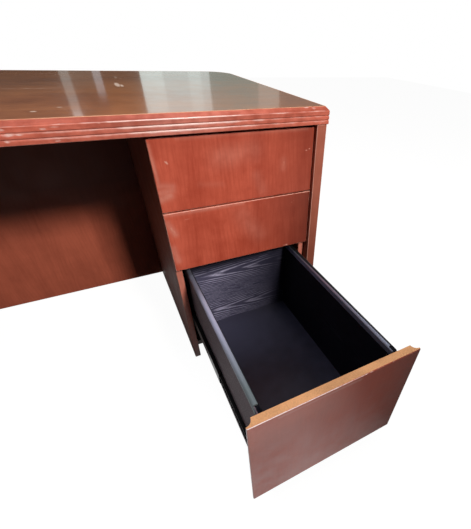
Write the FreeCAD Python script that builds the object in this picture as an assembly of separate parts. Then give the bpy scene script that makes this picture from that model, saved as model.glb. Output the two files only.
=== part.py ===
import FreeCAD, Part
import os
from FreeCAD import Placement, Rotation, Vector

# L-shaped office desk: a desk with a drawer pedestal on the right and a return on the left.
# Millimetres, +Z up. The origin is on the floor at the centre of the bounding box.
# +Y points from the user's side to the visitor's side, and +X to the user's right.
# The desk's file drawer is drawn out, and every other drawer is closed.

# Overall sizes
desk_width = 1676.0
desk_depth = 762.0
desk_height = 749.0
return_length = 1219.0
return_depth = 610.0

# Tops and their reeded edge moulding
top_thickness = 39.0
edge_depth = 11.0
edge_arris_flat = 1.5
edge_bevel_drop = 9.0
edge_nose_round = 2.0
reed_groove_depth = 3.0
reed_count = 3
back_corner_radius = 95.0

# Standing panels
end_panel_thickness = 28.0
end_panel_arris_radius = 2.0
panel_thickness = 18.0
top_side_overhang = 3.0
top_front_overhang = 2.0
top_back_overhang = 85.0
modesty_setback = 148.0
glide_height = 6.0
glide_diameter = 16.0
glide_chamfer = 1.5
glide_inset = 60.0

# Pedestal carcasses
pedestal_width = 403.0
drawer_recess = 12.0
carcass_floor_rise = 36.0
carcass_floor_setback = 25.0
carcass_rail_width = 80.0

# Drawer fronts, hollowed down the back of both ends for the fingers
front_thickness = 19.0
front_tip_thickness = 5.0
front_arris_radius = 1.2
front_stop_gap = 1.0
front_gap = 3.0
front_end_reveal = 2.0
front_top_gap = 5.0
front_floor_gap = 60.0
file_front_height = 315.0

# Drawer boxes
side_thickness = 12.0
bottom_thickness = 6.0
bottom_recess = 8.0
housing_depth = 4.0
groove_depth = 6.0
groove_play = 0.2
box_top_drop = 27.0
box_bottom_rise = 18.0
desk_drawer_back_gap = 64.0
return_drawer_back_gap = 25.0
file_drawer_open = 498.0

# Hanging-file rails, capped over the sides of the file drawers
rail_sheet = 1.2
rail_inner_flange = 14.0
rail_outer_flange = 6.0
rail_crown = 5.0
rail_front_gap = 18.0
rail_notch_length = 14.0
rail_notch_edge = 1.0
rail_back_gap = 2.0

# Three-section telescopic drawer slides
slide_width = 12.7
slide_height = 45.7
slide_sheet = 1.2
slide_race = 3.65
slide_lip_play = 0.4
slide_web_play = 0.7
slide_bend_radius = 1.5
slide_setback = 2.0
slide_end_gap = 4.0
box_slide_rise = 40.0
file_slide_rise = 92.0

# Steel fittings under the tops
bracket_leg = 40.0
bracket_width = 32.0
bracket_sheet = 2.5
bracket_bend_radius = 4.0
bracket_inset = 150.0
plate_length = 150.0
plate_width = 60.0
plate_thickness = 3.0
plate_corner_radius = 6.0
plate_inset = 150.0

# Places worked out from the driving sizes
right = desk_width / 2
left = -right
back = (desk_depth + return_length) / 2
return_end = -back
desk_front = back - desk_depth
return_front = left + return_depth
underside = desk_height - top_thickness
panel_front = desk_front + top_front_overhang
panel_back = back - top_back_overhang
return_panel_front = return_front - top_front_overhang
modesty_front = back - modesty_setback - panel_thickness
right_panel_x = right - top_side_overhang - end_panel_thickness
left_panel_x = left + top_side_overhang
return_panel_y = return_end + top_side_overhang
return_modesty_x = left_panel_x + (end_panel_thickness - panel_thickness) / 2
front_face = desk_front + drawer_recess
return_front_face = return_front - drawer_recess
pedestal_x = right_panel_x - pedestal_width
return_pedestal_y = return_panel_y + end_panel_thickness
desk_carcass_depth = panel_back - front_face
return_carcass_depth = return_front_face - return_modesty_x - panel_thickness

# Places inside a pedestal: x along its width, y from the drawer fronts' faces inwards, z up
carcass_face = front_thickness + front_stop_gap
fronts_height = underside - front_top_gap - front_floor_gap
box_front_height = (fronts_height - file_front_height - 2 * front_gap) / 2
tall_front_height = (fronts_height - front_gap) / 2
box_left = panel_thickness + slide_width
box_right = pedestal_width - box_left
slide_depth = slide_width - 2 * (slide_sheet + slide_web_play)
slide_step = slide_sheet + slide_web_play
slide_nest = 2 * (slide_sheet + slide_race)
slide_lip = slide_sheet + slide_race - slide_lip_play
desk_box_length = desk_carcass_depth - panel_thickness - front_thickness - desk_drawer_back_gap
return_box_length = return_carcass_depth - panel_thickness - front_thickness - return_drawer_back_gap

quarter_turn = Rotation(Vector(0, 0, 1), 90)
desk_pedestal_place = Placement(Vector(pedestal_x, front_face, 0), Rotation())
return_pedestal_place = Placement(Vector(return_front_face, return_pedestal_y, 0), quarter_turn)


def block(x0, x1, y0, y1, z0, z1):
    """A rectangular board between two corners."""
    return Part.makeBox(x1 - x0, y1 - y0, z1 - z0, Vector(x0, y0, z0))


def prism(points, direction):
    """A flat outline with straight sides, carried along a direction."""
    corners = [Vector(*point) for point in points]
    return Part.Face(Part.makePolygon(corners + corners[:1])).extrude(Vector(*direction))


def line(start, end):
    """A straight edge."""
    return Part.LineSegment(start, end).toShape()


def arc(start, middle, end):
    """A round edge through three points."""
    return Part.Arc(start, middle, end).toShape()


def rounded(solid, radius, wanted):
    """The solid with a radius on each edge whose bounding box passes the test."""
    return solid.makeFillet(radius, [edge for edge in solid.Edges if wanted(edge.BoundBox)])


def put(shape, place):
    """A copy of the shape at a place."""
    moved = shape.copy()
    moved.Placement = place.multiply(shape.Placement)
    return moved


def drawn_out(shape, distance):
    """A drawer piece moved out of its pedestal."""
    return put(shape, Placement(Vector(0, -distance, 0), Rotation()))


def both_sides(shape):
    """A pedestal piece and its mirror image on the other side."""
    return [shape, shape.mirror(Vector(pedestal_width / 2, 0, 0), Vector(1, 0, 0))]


# Tops and moulding
def edge_profile():
    """Section of the moulding: x outwards from its joint with the top, z down from the surface.

    A narrow flat and a bevel lead to the nose. Below it come half a reed, whose arc is tangent
    to the vertical at the nose, and whole reeds with their crests in line with the nose.
    """
    reed_height = (top_thickness - edge_bevel_drop) / reed_count
    groove_x = edge_depth - reed_groove_depth
    joint_top = Vector(0, 0, 0)
    joint_foot = Vector(0, 0, -top_thickness)
    bevel_top = Vector(edge_arris_flat, 0, 0)
    nose = Vector(edge_depth, 0, -edge_bevel_drop)
    nose_start = nose + (bevel_top - nose).normalize() * edge_nose_round
    nose_end = nose - Vector(0, 0, edge_nose_round)
    nose_middle = (nose_start + nose_end) * 0.25 + nose * 0.5
    edges = [line(joint_top, bevel_top), line(bevel_top, nose_start)]
    edges.append(arc(nose_start, nose_middle, nose_end))

    foot = Vector(groove_x, 0, -edge_bevel_drop - reed_height)
    drop = nose_end.z - foot.z
    radius = (reed_groove_depth ** 2 + drop ** 2) / (2 * reed_groove_depth)
    chord_middle = (nose_end + foot) * 0.5
    centre = Vector(edge_depth - radius, 0, nose_end.z)
    edges.append(arc(nose_end, centre + (chord_middle - centre).normalize() * radius, foot))
    for reed in range(1, reed_count):
        next_foot = foot - Vector(0, 0, reed_height)
        edges.append(arc(foot, (foot + next_foot) * 0.5 + Vector(reed_groove_depth, 0, 0), next_foot))
        foot = next_foot
    edges += [line(foot, joint_foot), line(joint_foot, joint_top)]
    return Part.Face(Part.Wire(edges))


def edge_strip(start_x, start_y, end_x, end_y, mitre_start=False, mitre_end=False):
    """A length of moulding along an outer edge of a top, with the top on its left hand."""
    start = Vector(start_x, start_y, 0)
    run = Vector(end_x, end_y, 0) - start
    length = run.Length
    section = put(edge_profile(), Placement(Vector(0, edge_depth, desk_height), quarter_turn.inverted()))
    plan = [
        (0, 0, underside),
        (length, 0, underside),
        (length - edge_depth * mitre_end, edge_depth, underside),
        (edge_depth * mitre_start, edge_depth, underside),
    ]
    strip = section.extrude(Vector(length, 0, 0)).common(prism(plan, (0, 0, top_thickness)))
    return put(strip.Solids[0], Placement(start, Rotation(Vector(1, 0, 0), run)))


def edge_corner(centre_x, centre_y, turn):
    """A quarter turn of moulding round a back corner of the desk's top."""
    joint = Vector(back_corner_radius - edge_depth, 0, desk_height)
    section = put(edge_profile(), Placement(joint, Rotation()))
    corner = section.revolve(Vector(0, 0, 0), Vector(0, 0, 1), 90)
    return put(corner, Placement(Vector(centre_x, centre_y, 0), turn))


def desk_top():
    """The desk's top board, rounded at its back corners, and the moulding round it."""
    arc_x = right - back_corner_radius
    arc_y = back - back_corner_radius
    board = rounded(
        block(
            left + edge_depth, right - edge_depth, desk_front + edge_depth, back - edge_depth,
            underside, desk_height,
        ),
        back_corner_radius - edge_depth,
        lambda box: box.YMin > arc_y and box.ZLength > top_thickness / 2,
    )
    return {
        "desk_top_panel": [board],
        "desk_edge_front": [edge_strip(left, desk_front, right, desk_front, True, True)],
        "desk_edge_ends": [
            edge_strip(right, desk_front, right, arc_y, mitre_start=True),
            edge_strip(left, arc_y, left, desk_front, mitre_end=True),
        ],
        "desk_edge_back": [edge_strip(arc_x, back, -arc_x, back)],
        "desk_edge_corners": [
            edge_corner(arc_x, arc_y, Rotation()),
            edge_corner(-arc_x, arc_y, quarter_turn),
        ],
    }


def return_top():
    """The return's top, cut square where it butts against the moulding of the desk's front edge."""
    board = block(
        left + edge_depth, return_front - edge_depth, return_end + edge_depth, desk_front,
        underside, desk_height,
    )
    return {
        "return_top_panel": [board],
        "return_edges": [
            edge_strip(return_front, return_end, return_front, desk_front, mitre_start=True),
            edge_strip(left, return_end, return_front, return_end, True, True),
            edge_strip(left, desk_front, left, return_end, mitre_end=True),
        ],
    }


# Standing panels
def end_panel(depth, place):
    """A thick end panel: x through it, y back from its front edge, whose arrises are rounded."""
    panel = rounded(
        block(0, end_panel_thickness, 0, depth, glide_height, underside),
        end_panel_arris_radius,
        lambda box: box.YMax < depth / 2 and box.ZLength > top_thickness,
    )
    return put(panel, place)


def standing_panels():
    """End panels and modesty panels, all from the glides up to the underside of the tops."""
    depth = panel_back - panel_front
    return {
        "right_end_panel": [end_panel(depth, Placement(Vector(right_panel_x, panel_front, 0), Rotation()))],
        "left_end_panel": [end_panel(depth, Placement(Vector(left_panel_x, panel_front, 0), Rotation()))],
        "modesty_panel": [
            block(
                left_panel_x + end_panel_thickness, pedestal_x,
                modesty_front, modesty_front + panel_thickness,
                glide_height, underside,
            )
        ],
        "return_end_panel": [
            end_panel(
                return_panel_front - left_panel_x,
                Placement(Vector(return_panel_front, return_panel_y, 0), quarter_turn),
            )
        ],
        "return_modesty_panel": [
            block(
                return_modesty_x, return_modesty_x + panel_thickness,
                return_pedestal_y, panel_front,
                glide_height, underside,
            )
        ],
    }


# Pedestals
def carcass(depth):
    """A pedestal's two sides, its back, its floor and the two rails that hold the top."""
    inner_left = panel_thickness
    inner_right = pedestal_width - panel_thickness
    inner_back = depth - panel_thickness
    rail_bottom = underside - panel_thickness
    side = block(0, inner_left, carcass_face, depth, glide_height, underside)
    back_board = block(inner_left, inner_right, inner_back, depth, glide_height, underside)
    floor_board = block(
        inner_left, inner_right, carcass_face + carcass_floor_setback, inner_back,
        carcass_floor_rise, carcass_floor_rise + panel_thickness,
    )
    rails = [
        block(inner_left, inner_right, start, start + carcass_rail_width, rail_bottom, underside)
        for start in (carcass_face, inner_back - carcass_rail_width)
    ]
    return both_sides(side), [back_board], [floor_board], rails


def slide_member(height, lip, length):
    """A rolled channel, open towards +x: its web at x = 0, and lips turned in along both flanges.

    The bends of the lips are rounded. Those of the web, which lie against a board, are left square.
    """
    half = height / 2
    wall = slide_depth - slide_sheet
    outline = [(0, half), (slide_depth, half), (slide_depth, half - lip), (wall, half - lip)]
    outline += [(wall, half - slide_sheet), (slide_sheet, half - slide_sheet)]
    outline += [(x, -z) for x, z in reversed(outline)]
    member = prism([(x, 0, z) for x, z in outline], (0, length, 0))
    return rounded(
        member,
        slide_bend_radius,
        lambda box: box.XMin > wall and abs(box.Center.z) > half - slide_sheet / 2,
    )


def slides(centre_z, box_length, opened):
    """Both slides of a drawer: the members on the carcass, between, and on the drawer's sides."""
    length = box_length - slide_end_gap
    middle_height = slide_height - slide_nest
    inner_height = middle_height - slide_nest
    start_y = carcass_face + slide_setback

    def seated(member, x, distance):
        return put(member, Placement(Vector(x, start_y - distance, centre_z), Rotation()))

    outer = seated(slide_member(slide_height, slide_lip, length), panel_thickness, 0)
    middle = slide_member(middle_height, slide_lip, length)
    middle = seated(middle, panel_thickness + slide_step, opened / 2)
    inner = slide_member(inner_height, 2 * slide_sheet, length)
    inner = inner.mirror(Vector(0, 0, 0), Vector(1, 0, 0))
    inner = seated(inner, box_left, opened)
    return both_sides(outer), both_sides(middle), both_sides(inner)


def drawer_front(x0, x1, z0, height):
    """A drawer front whose ends are hollowed from behind to a thin tip by a quarter-round cove."""
    cove = front_thickness - front_tip_thickness
    cove_middle = cove * 0.5 ** 0.5
    tip_y = front_tip_thickness
    rear_y = front_thickness
    corners = [Vector(x0, 0, z0), Vector(x1, 0, z0), Vector(x1, tip_y, z0)]
    corners += [Vector(x1 - cove, rear_y, z0), Vector(x0 + cove, rear_y, z0), Vector(x0, tip_y, z0)]
    outline = [
        line(corners[0], corners[1]),
        line(corners[1], corners[2]),
        arc(corners[2], Vector(x1 - cove_middle, rear_y - cove_middle, z0), corners[3]),
        line(corners[3], corners[4]),
        arc(corners[4], Vector(x0 + cove_middle, rear_y - cove_middle, z0), corners[5]),
        line(corners[5], corners[0]),
    ]
    front = Part.Face(Part.Wire(outline)).extrude(Vector(0, 0, height))
    return rounded(front, front_arris_radius, lambda box: box.YMax < front_tip_thickness / 2)


def file_rails(box_top, box_back):
    """Hanging-file rails: channels pushed over the sides, with a crowned cap that the folders hook over.

    The cap is notched at its front end, which leaves two prongs to spring over the side.
    """
    start_y = front_thickness + rail_front_gap
    end_y = box_back - side_thickness - rail_back_gap
    inner_x = box_left + side_thickness
    outside, inside = box_left - rail_sheet, inner_x + rail_sheet

    def at(x, z):
        return Vector(x, start_y, z)

    corners = [
        at(inside, box_top),
        at(inside, box_top - rail_inner_flange),
        at(inner_x, box_top - rail_inner_flange),
        at(inner_x, box_top),
        at(box_left, box_top),
        at(box_left, box_top - rail_outer_flange),
        at(outside, box_top - rail_outer_flange),
        at(outside, box_top),
    ]
    outline = [line(first, second) for first, second in zip(corners, corners[1:])]
    outline.append(arc(corners[-1], at((outside + inside) / 2, box_top + rail_crown), corners[0]))
    rail = Part.Face(Part.Wire(outline)).extrude(Vector(0, end_y - start_y, 0))
    notch = block(
        box_left + rail_notch_edge, inner_x - rail_notch_edge, start_y, start_y + rail_notch_length,
        box_top, box_top + rail_crown,
    )
    return both_sides(rail.cut(notch).Solids[0])


def drawer(front_ends, bottom_z, height, box_length, slide_rise, opened=0.0, for_files=False):
    """One drawer: its front, its box and its two slides.

    The ends of the box are housed in rebates of its sides, and its bottom in a groove all round.
    """
    box_bottom = bottom_z + box_bottom_rise
    box_top = bottom_z + height - box_top_drop
    box_front = front_thickness
    box_back = box_front + box_length
    inner_left = box_left + side_thickness
    inner_right = box_right - side_thickness
    inner_front = box_front + side_thickness
    inner_back = box_back - side_thickness
    groove_z = box_bottom + bottom_recess
    reach = groove_depth - groove_play
    groove = block(
        inner_left - groove_depth, inner_right + groove_depth,
        inner_front - groove_depth, inner_back + groove_depth,
        groove_z, groove_z + bottom_thickness + groove_play,
    )
    ends = [
        block(
            inner_left - housing_depth, inner_right + housing_depth, y, y + side_thickness,
            box_bottom, box_top,
        )
        for y in (box_front, inner_back)
    ]
    side = block(box_left, inner_left, box_front, box_back, box_bottom, box_top).cut([groove] + ends)
    bottom = block(
        inner_left - reach, inner_right + reach, inner_front - reach, inner_back + reach,
        groove_z, groove_z + bottom_thickness,
    )
    outers, middles, inners = slides(box_bottom + slide_rise, box_length, opened)
    pieces = {
        "front": [drawer_front(*front_ends, bottom_z, height)],
        "sides": both_sides(side.Solids[0]),
        "ends": [end.cut(groove).Solids[0] for end in ends],
        "bottom": [bottom],
    }
    if for_files:
        pieces["file_rails"] = file_rails(box_top, box_back)
    for name, solids in pieces.items():
        pieces[name] = [drawn_out(solid, opened) for solid in solids]
    pieces["slide_inners"] = inners
    pieces["slide_middles"] = middles
    return pieces, outers


def placed(nodes, place):
    """A pedestal's nodes moved to where the pedestal stands."""
    return {name: [put(solid, place) for solid in solids] for name, solids in nodes.items()}


def desk_pedestal():
    """The desk's pedestal: two box drawers over the file drawer, with the knees on its left."""
    sides, back_board, floor_board, rails = carcass(desk_carcass_depth)
    nodes = {
        "desk_pedestal_knee_side": sides[:1],
        "desk_pedestal_end_side": sides[1:],
        "desk_pedestal_back": back_board,
        "desk_pedestal_floor": floor_board,
        "desk_pedestal_rails": rails,
        "desk_slide_outers": [],
    }
    front_ends = (0, pedestal_width - front_end_reveal)
    middle_z = front_floor_gap + file_front_height + front_gap
    top_z = middle_z + box_front_height + front_gap
    drawers = {
        "file_drawer": drawer(
            front_ends, front_floor_gap, file_front_height, desk_box_length, file_slide_rise,
            file_drawer_open, True,
        ),
        "middle_drawer": drawer(front_ends, middle_z, box_front_height, desk_box_length, box_slide_rise),
        "top_drawer": drawer(front_ends, top_z, box_front_height, desk_box_length, box_slide_rise),
    }
    for drawer_name, (pieces, outers) in drawers.items():
        nodes["desk_slide_outers"] += outers
        nodes.update({f"{drawer_name}_{piece}": solids for piece, solids in pieces.items()})
    return placed(nodes, desk_pedestal_place)


def return_pedestal():
    """The return's pedestal at its far end: two file drawers, with the knees on its right."""
    sides, back_board, floor_board, rails = carcass(return_carcass_depth)
    nodes = {
        "return_pedestal_sides": sides,
        "return_pedestal_back": back_board,
        "return_pedestal_floor": floor_board,
        "return_pedestal_rails": rails,
        "return_slide_outers": [],
    }
    front_ends = (front_end_reveal, pedestal_width)
    for number, drawer_name in enumerate(("return_lower", "return_upper")):
        bottom_z = front_floor_gap + number * (tall_front_height + front_gap)
        pieces, outers = drawer(
            front_ends, bottom_z, tall_front_height, return_box_length, file_slide_rise, for_files=True
        )
        nodes["return_slide_outers"] += outers
        nodes.update({f"{drawer_name}_{piece}": solids for piece, solids in pieces.items()})
    return placed(nodes, return_pedestal_place)


# Fittings
def fittings():
    """Angle brackets and joining plates under the tops, and glides under the panels."""
    bracket = prism(
        [
            (0, -bracket_width / 2, 0),
            (bracket_leg, -bracket_width / 2, 0),
            (bracket_leg, -bracket_width / 2, -bracket_sheet),
            (bracket_sheet, -bracket_width / 2, -bracket_sheet),
            (bracket_sheet, -bracket_width / 2, -bracket_leg),
            (0, -bracket_width / 2, -bracket_leg),
        ],
        (0, bracket_width, 0),
    )
    bend = bracket_sheet / 2
    bracket = rounded(
        bracket,
        bracket_bend_radius,
        lambda box: box.YLength > bracket_width / 2 and box.XMax < bend and box.ZMin > -bend,
    )
    face_right = Rotation()
    face_front = quarter_turn.inverted()
    left_panel_inner = left_panel_x + end_panel_thickness
    return_modesty_inner = return_modesty_x + panel_thickness
    knee_middle = (left_panel_inner + pedestal_x) / 2
    return_knee_end = return_pedestal_y + pedestal_width
    bracket_places = [
        (left_panel_inner, panel_front + bracket_inset, face_right),
        (left_panel_inner, modesty_front - bracket_inset, face_right),
        (left_panel_inner + bracket_inset, modesty_front, face_front),
        (knee_middle, modesty_front, face_front),
        (pedestal_x - bracket_inset, modesty_front, face_front),
        (return_modesty_inner, return_knee_end + bracket_inset, face_right),
        (return_modesty_inner, desk_front - bracket_inset, face_right),
    ]

    plate = rounded(
        block(
            -plate_width / 2, plate_width / 2,
            desk_front - plate_length / 2, desk_front + plate_length / 2,
            underside - plate_thickness, underside,
        ),
        plate_corner_radius,
        lambda box: box.ZLength > plate_thickness / 2 and box.XLength < plate_thickness / 2,
    )
    plate_places = (left + plate_inset, return_front - plate_inset)

    glide = Part.makeCylinder(glide_diameter / 2, glide_height)
    glide_rim = [edge for edge in glide.Edges if edge.BoundBox.ZMax < glide_height / 2]
    glide = glide.makeChamfer(glide_chamfer, glide_rim)
    desk_glide_y = (panel_front + glide_inset, panel_back - glide_inset)
    return_glide_x = (left_panel_x + glide_inset, return_panel_front - glide_inset)
    desk_rows = [
        right_panel_x + end_panel_thickness / 2,
        left_panel_x + end_panel_thickness / 2,
        pedestal_x + panel_thickness / 2,
    ]
    return_rows = [
        return_panel_y + end_panel_thickness / 2,
        return_pedestal_y + pedestal_width - panel_thickness / 2,
    ]
    glide_places = [(x, y) for x in desk_rows for y in desk_glide_y]
    glide_places += [(x, y) for y in return_rows for x in return_glide_x]
    return {
        "fixing_brackets": [
            put(bracket, Placement(Vector(x, y, underside), turn)) for x, y, turn in bracket_places
        ],
        "joining_plates": [put(plate, Placement(Vector(x, 0, 0), Rotation())) for x in plate_places],
        "floor_glides": [put(glide, Placement(Vector(x, y, 0), Rotation())) for x, y in glide_places],
    }


def build():
    """Write every node of the desk, a node of several solids as a compound of them."""
    os.makedirs("parts", exist_ok=True)
    sections = (desk_top, return_top, standing_panels, desk_pedestal, return_pedestal, fittings)
    for section in sections:
        for name, solids in section().items():
            shape = solids[0] if len(solids) == 1 else Part.makeCompound(solids)
            shape.exportStep(f"parts/{name}.step")


build()
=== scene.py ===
"""Looks of an L-shaped office desk: finishes, worn mouldings, panels and drawer fronts, and a studio."""

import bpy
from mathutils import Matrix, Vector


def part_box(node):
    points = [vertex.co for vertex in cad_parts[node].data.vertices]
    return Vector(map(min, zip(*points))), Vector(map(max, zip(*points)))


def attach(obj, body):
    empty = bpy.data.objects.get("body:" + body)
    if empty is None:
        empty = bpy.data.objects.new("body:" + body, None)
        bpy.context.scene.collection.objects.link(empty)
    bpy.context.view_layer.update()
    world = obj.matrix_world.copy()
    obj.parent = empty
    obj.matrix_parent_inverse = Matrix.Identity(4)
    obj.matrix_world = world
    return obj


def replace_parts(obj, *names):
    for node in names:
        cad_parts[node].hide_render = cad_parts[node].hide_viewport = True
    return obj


bl_info = {
    "name": "L-shaped desk looks",
    "version": (1, 0, 0),
    "blender": (4, 5, 0),
    "location": "3D View > Sidebar > Desk",
    "description": "Dresses the packed frame of an L-shaped office desk in its finishes",
    "category": "Object",
}

import math

import bpy
import numpy as np
from bpy.props import FloatProperty, FloatVectorProperty, PointerProperty
from mathutils import Euler, Vector

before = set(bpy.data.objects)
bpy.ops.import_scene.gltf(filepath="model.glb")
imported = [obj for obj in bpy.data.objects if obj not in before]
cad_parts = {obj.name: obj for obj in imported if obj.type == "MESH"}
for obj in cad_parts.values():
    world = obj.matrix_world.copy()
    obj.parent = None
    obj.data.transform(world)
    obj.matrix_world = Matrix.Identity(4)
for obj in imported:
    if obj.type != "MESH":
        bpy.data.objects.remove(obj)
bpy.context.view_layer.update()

MM = 0.001
X, Y, Z = range(3)
DESK_DRAWERS = ("top_drawer", "middle_drawer", "file_drawer")
RETURN_DRAWERS = ("return_upper", "return_lower")
DRAWERS = DESK_DRAWERS + RETURN_DRAWERS
# Marks on the desk's top: centre and half sizes along X and Y in mm, and wear
TOP_MARKS = (
    (406, 640, 9, 55, 1.0), (416, 620, 6, 30, 0.9), (215, 588, 120, 7, 0.42),
    (231, 300, 8, 9, 0.6), (272, 335, 9, 8, 0.5), (418, 800, 6, 40, 0.5),
)


# Settings
def linear(code):
    """An sRGB hex colour as linear red, green and blue."""
    srgb = np.array([int(code[place:place + 2], 16) for place in (1, 3, 5)]) / 255
    return np.where(srgb <= 0.04045, srgb / 12.92, ((srgb + 0.055) / 1.055) ** 2.4).tolist()


def colour(name, code, description):
    """A colour that the user can change, given as an sRGB hex value."""
    return FloatVectorProperty(
        name=name, description=description, default=linear(code), subtype="COLOR", min=0, max=1
    )


def length(name, millimetres, description):
    """A length that the user can change, given in millimetres."""
    return FloatProperty(
        name=name, description=description, default=millimetres * MM, min=0, subtype="DISTANCE", unit="LENGTH"
    )


def power(name, watts, description):
    """A lamp's power that the user can change."""
    return FloatProperty(name=name, description=description, default=watts, min=0, unit="POWER")


class DeskFinishes(bpy.types.PropertyGroup):
    """Colours of the desk's finishes."""

    front_light: colour("Front, light figure", "#CB624B", "Light figure in the veneer of the drawer fronts")
    front_dark: colour("Front, dark figure", "#AE4A36", "Dark figure in the veneer of the drawer fronts")
    panel_light: colour("Panel, light figure", "#B9624A", "Light figure in the veneer of the panels")
    panel_dark: colour("Panel, dark figure", "#9F513C", "Dark figure in the veneer of the panels")
    moulding_light: colour("Moulding, light figure", "#D97058", "Light figure in the edge moulding")
    moulding_dark: colour("Moulding, dark figure", "#A64A34", "Dark figure in the edge moulding")
    top_light: colour("Top, light figure", "#9E6644", "Light figure in the veneer of the tops")
    top_dark: colour("Top, dark figure", "#835038", "Dark figure in the veneer of the tops")
    worn_wood: colour("Worn wood", "#DDA594", "Wood that shows where the lacquer is scuffed through")
    # Pale on the reeds' crests, partly wear and partly painted highlight, and in chips
    worn_moulding: colour("Worn moulding", "#DDBAB2", "Pale wood on the crests of the reeds and in chips")
    # Near white along the open front's arris: partly chipped lacquer, partly painted highlight
    chipped: colour("Chipped lacquer", "#FBEFE8", "Pale ground along the open front's worn arris")
    top_scratch: colour("Top, scratched", "#F0D8C4", "Bare wood in the marks on the top")
    worn_arris: colour("Worn arris", "#C28C6E", "Golden wood along the joint of top and moulding")
    raw_edge: colour("Raw edge", "#DFA573", "Sawn fibreboard edges of the drawer fronts")
    box_stain: colour("Drawer stain", "#3C3C58", "Black stain on the drawer boxes")
    box_grain: colour("Drawer grain", "#DEDEFF", "Open grain that shows through the stain")
    bottom_coat: colour("Drawer bottom", "#1E1E28", "Black coat of the drawer bottoms")
    # A painted sheen at the back of the drawer bottoms, standing in for a reflection
    bottom_dust: colour("Drawer dust", "#48485F", "Dust at the back of the drawer bottoms")
    carcass: colour("Carcass", "#24160F", "Dark board inside the pedestals")
    slide_coat: colour("Slide coating", "#0D0D0E", "Black coating of the drawer slides")
    rail_coat: colour("Rail coating", "#1A1B1E", "Dark coat of the hanging-file rails")
    # The rails' pale steel is painted light: a highlight and a reflection, dull at the front
    rail_bare: colour("Rail, rubbed bright", "#9C9FB4", "Steel where folders have rubbed off the coat")
    rail_dull: colour("Rail, rubbed dull", "#687275", "Steel at the front of a rail, rubbed and gone dull")
    zinc: colour("Zinc plating", "#B9BCC0", "Plating of the brackets and joining plates")
    nylon: colour("Nylon", "#1D1C1B", "Moulded glides")


class DeskDetails(bpy.types.PropertyGroup):
    """Small sizes of the desk's pieces."""

    edge_flat: length("Moulding flat", 2.2, "Width of the flat at the top of the moulding")
    edge_bevel: length("Moulding bevel", 9.0, "Drop of the moulding's bevel")
    edge_nose: length("Moulding nose", 2.0, "Length of the rounding at the moulding's nose")
    edge_joint: length("Moulding joint", 1.1, "Width of the worn line along the top of the bevel")
    reed_groove: length("Reed groove", 1.8, "Depth of the grooves between the reeds")
    reed_head: length("Reed head", 5.0, "Height of the rounding at the top of a reed")
    reed_foot: length("Reed foot", 1.6, "Height of the rounding at the foot of a reed")
    front_arris: length("Front arris", 2.0, "Radius of the arris round a drawer front")
    front_tip: length("Front tip", 5.0, "Thickness of a drawer front at the tips of its finger coves")
    panel_arris: length("Panel arris", 2.0, "Radius of the arris of the standing panels")


class DeskStage(bpy.types.PropertyGroup):
    """Camera, lamps and floor."""

    camera_place: FloatVectorProperty(
        name="Camera place", description="Where the photograph was taken from",
        default=(0.32717, -0.52023, 0.88532), subtype="TRANSLATION", unit="LENGTH",
    )
    camera_turn: FloatVectorProperty(
        name="Camera turn", description="How the camera was held", subtype="EULER", unit="ROTATION",
        default=[math.radians(angle) for angle in (49.893, -2.813, -28.785)],
    )
    camera_lens: FloatProperty(
        name="Lens", description="Focal length on a 36 mm sensor", default=21.766, min=1, unit="CAMERA"
    )
    camera_shift: FloatVectorProperty(
        name="Shift", description="How far the crop of the photograph moves its centre",
        default=(-0.117, 0.0683), size=2,
    )
    key_power: power("Key lamp", 128, "Power of the lamp before the drawers")
    ceiling_power: power("Ceiling lamp", 42, "Power of the soft lamp overhead")
    back_power: power("Back lamp", 40, "Power of the low lamp behind the desk")
    ambient: FloatProperty(
        name="Ambient light", description="Strength of the light from all round", default=0.008, min=0
    )
    floor_size: length("Floor", 16000, "Side of the square floor")


# Nodes and meshes
def add(tree, kind, inputs=(), output=None, stops=(), **settings):
    """Add a node, and give one of its outputs: the one that is named, or else the first in use.

    Settings are the node's properties. Inputs are values of its sockets, or outputs to link to them, by
    the sockets' names or in the order of those in use. So a MapRange takes a value, the range that it
    comes from and the range that it goes to, and a TexNoise takes a place, a scale, a detail and a
    roughness. Stops are the places and colours of a ramp.
    """
    node = tree.nodes.new("ShaderNode" + kind)
    for name, value in settings.items():
        setattr(node, name, value)
    if not isinstance(inputs, dict):
        used = [number for number, socket in enumerate(node.inputs) if socket.enabled]
        inputs = dict(zip(used, inputs))
    for name, value in inputs.items():
        socket = node.inputs[name]
        if isinstance(value, bpy.types.NodeSocket):
            tree.links.new(value, socket)
        else:
            socket.default_value = (*value, 1) if socket.type == "RGBA" else value
    for number, (place, shade) in enumerate(stops):
        elements = node.color_ramp.elements
        stop = elements[number] if number < 2 else elements.new(place)
        stop.position = place
        stop.color = (*shade, 1)
    if output:
        return node.outputs[output]
    return next((socket for socket in node.outputs if socket.enabled), None)


def new_material(name):
    """An empty node material and its tree."""
    material = bpy.data.materials.new(name)
    material.use_nodes = True
    material.node_tree.nodes.clear()
    return material, material.node_tree


def finishes():
    """The colours of the finishes, as the user has set them."""
    return bpy.context.scene.desk_finishes


def surfaced(tree, inputs):
    """Close a material's tree with the surface shader that its inputs describe."""
    add(tree, "OutputMaterial", (add(tree, "BsdfPrincipled", inputs),))


def scaled(shade, share):
    """A colour times a share, no brighter than white."""
    return [min(1.0, channel * share) for channel in shade]


def per_metre(millimetres):
    """The scale of a pattern in metres whose features are that many millimetres wide."""
    return 1 / (millimetres * MM)


def long_grain(tree, place, along, share, width_mm, detail, roughness=0.5, distortion=0.0):
    """Long grain: noise with features that many millimetres wide, drawn out along one axis.

    Its place is scaled by a share along that axis, so the features are longer by one over the share.
    """
    scale = [share if axis == along else 1.0 for axis in (X, Y, Z)]
    shortened = add(tree, "Mapping", {"Vector": place, "Scale": scale})
    return add(tree, "TexNoise", {
        "Vector": shortened, "Scale": per_metre(width_mm), "Detail": detail, "Roughness": roughness,
        "Distortion": distortion,
    })


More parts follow.
